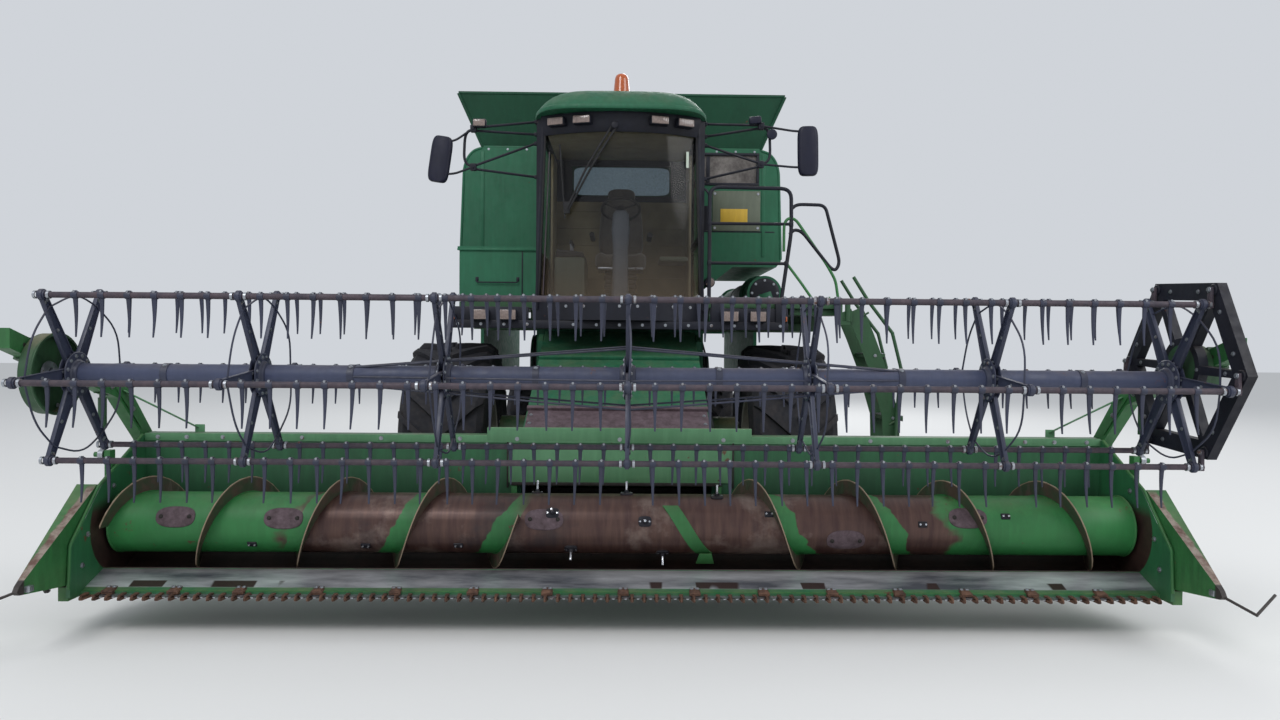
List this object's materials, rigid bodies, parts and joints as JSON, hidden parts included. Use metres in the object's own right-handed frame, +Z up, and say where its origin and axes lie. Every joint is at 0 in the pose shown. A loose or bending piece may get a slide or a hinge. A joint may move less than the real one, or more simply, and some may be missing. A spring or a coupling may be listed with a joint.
{
  "type": "combine harvester",
  "caption": "Self-propelled combine harvester with grain header, tined reel, glazed cab, grain tank with raised extension, folded unloading tube and lugged tyres.",
  "frame": {"origin": "on the ground, under the middle of the whole machine's box", "axes": "+Z up, the machine faces -Y, its left-hand side is +X"},
  "size_m": [7.4485, 9.6, 4.4099],
  "materials": {
    "green_paint": "satin",
    "dark_green_paint": "satin",
    "black_paint": "satin",
    "tyre_rubber": "matte",
    "rim_paint": "satin",
    "worn_steel": "satin",
    "rusty_steel": "rough",
    "reel_paint": "satin",
    "glass": "clear",
    "interior": "matte",
    "lamp": "gloss",
    "engine_iron": "rough"
  },
  "bodies": {
    "root": {"chassis_frame": "dark_green_paint", "front_axle": "dark_green_paint", "rear_axle": "dark_green_paint", "separator_body": "green_paint", "rear_hood": "green_paint", "chopper_housing": "dark_green_paint", "grain_tank": "green_paint", "tank_extension": "green_paint", "engine": "engine_iron", "engine_hood": "green_paint", "unloader_turret": "dark_green_paint", "cab_frame": "black_paint", "cab_roof": "green_paint", "cab_glass": "glass", "cab_interior": "interior", "platform": "dark_green_paint", "handrails": "black_paint", "lamps": "lamp", "storage_box": "green_paint", "mirrors": "black_paint"},
    "door": {"cab_door": "black_paint", "door_glass": "glass"},
    "shield_l": {"shield_left": "green_paint"},
    "shield_r": {"shield_right": "green_paint"},
    "screen": {"rotary_screen": "black_paint"},
    "unloader": {"unloading_auger": "green_paint"},
    "steps": {"ladder": "dark_green_paint"},
    "tail": {"tailboard": "dark_green_paint"},
    "header": {"feeder_house": "green_paint", "header_frame": "green_paint", "header_dividers": "green_paint", "cutterbar": "rusty_steel"},
    "knife_bar": {"knife": "worn_steel"},
    "auger": {"cross_auger": "green_paint"},
    "barrels": {"lift_barrels": "dark_green_paint"},
    "rods": {"lift_rods": "worn_steel"},
    "arms": {"reel_arms": "green_paint"},
    "arm_barrels": {"reel_barrels": "dark_green_paint"},
    "arm_rods": {"reel_rods": "worn_steel"},
    "carriage": {"reel_carriage": "dark_green_paint"},
    "reel": {"reel_core": "reel_paint"},
    "cam": {"cam_ring": "black_paint"},
    "wheel_fl": {"front_left_tyre": "tyre_rubber", "front_left_rim": "rim_paint"},
    "wheel_fr": {"front_right_tyre": "tyre_rubber", "front_right_rim": "rim_paint"},
    "wheel_rl": {"rear_left_tyre": "tyre_rubber", "rear_left_rim": "rim_paint"},
    "wheel_rr": {"rear_right_tyre": "tyre_rubber", "rear_right_rim": "rim_paint"},
    "steer_l": {"knuckle_left": "black_paint"},
    "steer_r": {"knuckle_right": "black_paint"},
    "track_rod": {"tie_rod": "worn_steel"},
    "bar_1": {"bat_1": "rusty_steel"},
    "bar_2": {"bat_2": "rusty_steel"},
    "bar_3": {"bat_3": "rusty_steel"},
    "bar_4": {"bat_4": "rusty_steel"},
    "bar_5": {"bat_5": "rusty_steel"},
    "bar_6": {"bat_6": "rusty_steel"}
  },
  "joints": [
    {"name": "front_left_spin", "type": "hinge", "parent": "root", "child": "wheel_fl", "pos_m": [1.555, -0.94, 0.91], "axis": [1, 0, 0], "continuous": true},
    {"name": "front_right_spin", "type": "hinge", "parent": "root", "child": "wheel_fr", "pos_m": [-1.555, -0.94, 0.91], "axis": [1, 0, 0], "continuous": true},
    {"name": "steer", "type": "hinge", "parent": "root", "child": "steer_l", "pos_m": [0.96, 2.61, 0.665], "axis": [0, 0, 1], "range_deg": [-28, 28]},
    {"name": "steer_right", "type": "hinge", "parent": "root", "child": "steer_r", "pos_m": [-0.96, 2.61, 0.665], "axis": [0, 0, 1], "range_deg": [-28.5, 28.5]},
    {"name": "tie_rod_shift", "type": "slide", "parent": "root", "child": "track_rod", "axis": [-1, 0, 0], "range_m": [-0.092, 0.092]},
    {"name": "rear_left_spin", "type": "hinge", "parent": "steer_l", "child": "wheel_rl", "pos_m": [1.3, 2.61, 0.665], "axis": [1, 0, 0], "continuous": true},
    {"name": "rear_right_spin", "type": "hinge", "parent": "steer_r", "child": "wheel_rr", "pos_m": [-1.3, 2.61, 0.665], "axis": [1, 0, 0], "continuous": true},
    {"name": "header_lift", "type": "hinge", "parent": "root", "child": "header", "pos_m": [0, -1.25, 1.78], "axis": [-1, 0, 0], "range_deg": [-4, 15]},
    {"name": "lift_barrel_tilt", "type": "hinge", "parent": "root", "child": "barrels", "pos_m": [0, -1.2, 0.62], "axis": [-1, 0, 0], "range_deg": [-4, 14]},
    {"name": "lift_rod_slide", "type": "slide", "parent": "barrels", "child": "rods", "axis": [0, -0.9999, -0.0148], "range_m": [-0.085, 0.306]},
    {"name": "knife_stroke", "type": "slide", "parent": "header", "child": "knife_bar", "axis": [1, 0, 0], "range_m": [-0.038, 0.038]},
    {"name": "auger_spin", "type": "hinge", "parent": "header", "child": "auger", "pos_m": [0.07, -3.55, 0.613], "axis": [1, 0, 0], "continuous": true},
    {"name": "reel_lift", "type": "hinge", "parent": "header", "child": "arms", "pos_m": [0, -3.09, 1.113], "axis": [-1, 0, 0], "range_deg": [-6, 16]},
    {"name": "reel_barrel_tilt", "type": "hinge", "parent": "arms", "child": "arm_barrels", "pos_m": [0, -3.59, 1.5], "axis": [-1, 0, 0], "range_deg": [-3.4, 1.4]},
    {"name": "reel_rod_slide", "type": "slide", "parent": "arm_barrels", "child": "arm_rods", "axis": [0, 0, -1], "range_m": [-0.055, 0.141]},
    {"name": "reel_fore_aft", "type": "slide", "parent": "arms", "child": "carriage", "axis": [0, -0.9511, 0.309], "range_m": [-0.03, 0.12]},
    {"name": "reel_spin", "type": "hinge", "parent": "carriage", "child": "reel", "pos_m": [0.07, -4.237, 1.614], "axis": [1, 0, 0], "continuous": true},
    {"name": "bar_1_turn", "type": "hinge", "parent": "reel", "child": "bar_1", "pos_m": [0.07, -4.76912, 1.58332], "axis": [1, 0, 0], "continuous": true},
    {"name": "bar_2_turn", "type": "hinge", "parent": "reel", "child": "bar_2", "pos_m": [0.07, -4.47649, 1.13783], "axis": [1, 0, 0], "continuous": true},
    {"name": "bar_3_turn", "type": "hinge", "parent": "reel", "child": "bar_3", "pos_m": [0.07, -3.94437, 1.16851], "axis": [1, 0, 0], "continuous": true},
    {"name": "bar_4_turn", "type": "hinge", "parent": "reel", "child": "bar_4", "pos_m": [0.07, -3.70488, 1.64468], "axis": [1, 0, 0], "continuous": true},
    {"name": "bar_5_turn", "type": "hinge", "parent": "reel", "child": "bar_5", "pos_m": [0.07, -3.99751, 2.09017], "axis": [1, 0, 0], "continuous": true},
    {"name": "bar_6_turn", "type": "hinge", "parent": "reel", "child": "bar_6", "pos_m": [0.07, -4.52963, 2.05949], "axis": [1, 0, 0], "continuous": true},
    {"name": "cam_turn", "type": "hinge", "parent": "carriage", "child": "cam", "pos_m": [3.38, -4.237, 1.699], "axis": [1, 0, 0], "continuous": true},
    {"name": "rotary_screen_spin", "type": "hinge", "parent": "root", "child": "screen", "pos_m": [-0.945, 2.48, 2.71], "axis": [1, 0, 0], "continuous": true},
    {"name": "unloader_swing", "type": "hinge", "parent": "root", "child": "unloader", "pos_m": [1.53, 0.12, 2.37], "axis": [0.309, 0, -0.9511], "range_deg": [0, 95]},
    {"name": "cab_door_swing", "type": "hinge", "parent": "root", "child": "door", "pos_m": [0.759, -0.23, 2.9], "axis": [0, 0, 1], "range_deg": [0, 60]},
    {"name": "ladder_swing", "type": "hinge", "parent": "root", "child": "steps", "pos_m": [2, -1.722, 2.1], "axis": [0, 0, -1], "range_deg": [0, 90]},
    {"name": "left_shield_swing", "type": "hinge", "parent": "root", "child": "shield_l", "pos_m": [1.495, 1.8, 2.084], "axis": [0, -1, 0], "range_deg": [0, 60]},
    {"name": "right_shield_swing", "type": "hinge", "parent": "root", "child": "shield_r", "pos_m": [-1.495, 1.8, 2.084], "axis": [0, 1, 0], "range_deg": [0, 60]},
    {"name": "tailboard_tilt", "type": "hinge", "parent": "root", "child": "tail", "pos_m": [0, 4.438, 1.29], "axis": [1, 0, 0], "range_deg": [-20, 20]}
  ],
  "couplings": [
    {"joint": "steer_right", "follows": "steer", "ratio": 1},
    {"joint": "tie_rod_shift", "follows": "steer", "m_per_rad": 0.1825},
    {"joint": "lift_barrel_tilt", "follows": "header_lift", "ratio": 0.9091},
    {"joint": "lift_rod_slide", "follows": "header_lift", "m_per_rad": 1.151},
    {"joint": "reel_barrel_tilt", "follows": "reel_lift", "ratio": -0.1832},
    {"joint": "reel_rod_slide", "follows": "reel_lift", "m_per_rad": 0.4932},
    {"joint": "bar_1_turn", "follows": "reel_spin", "ratio": -1},
    {"joint": "bar_2_turn", "follows": "reel_spin", "ratio": -1},
    {"joint": "bar_3_turn", "follows": "reel_spin", "ratio": -1},
    {"joint": "bar_4_turn", "follows": "reel_spin", "ratio": -1},
    {"joint": "bar_5_turn", "follows": "reel_spin", "ratio": -1},
    {"joint": "bar_6_turn", "follows": "reel_spin", "ratio": -1},
    {"joint": "cam_turn", "follows": "reel_spin", "ratio": 1}
  ]
}
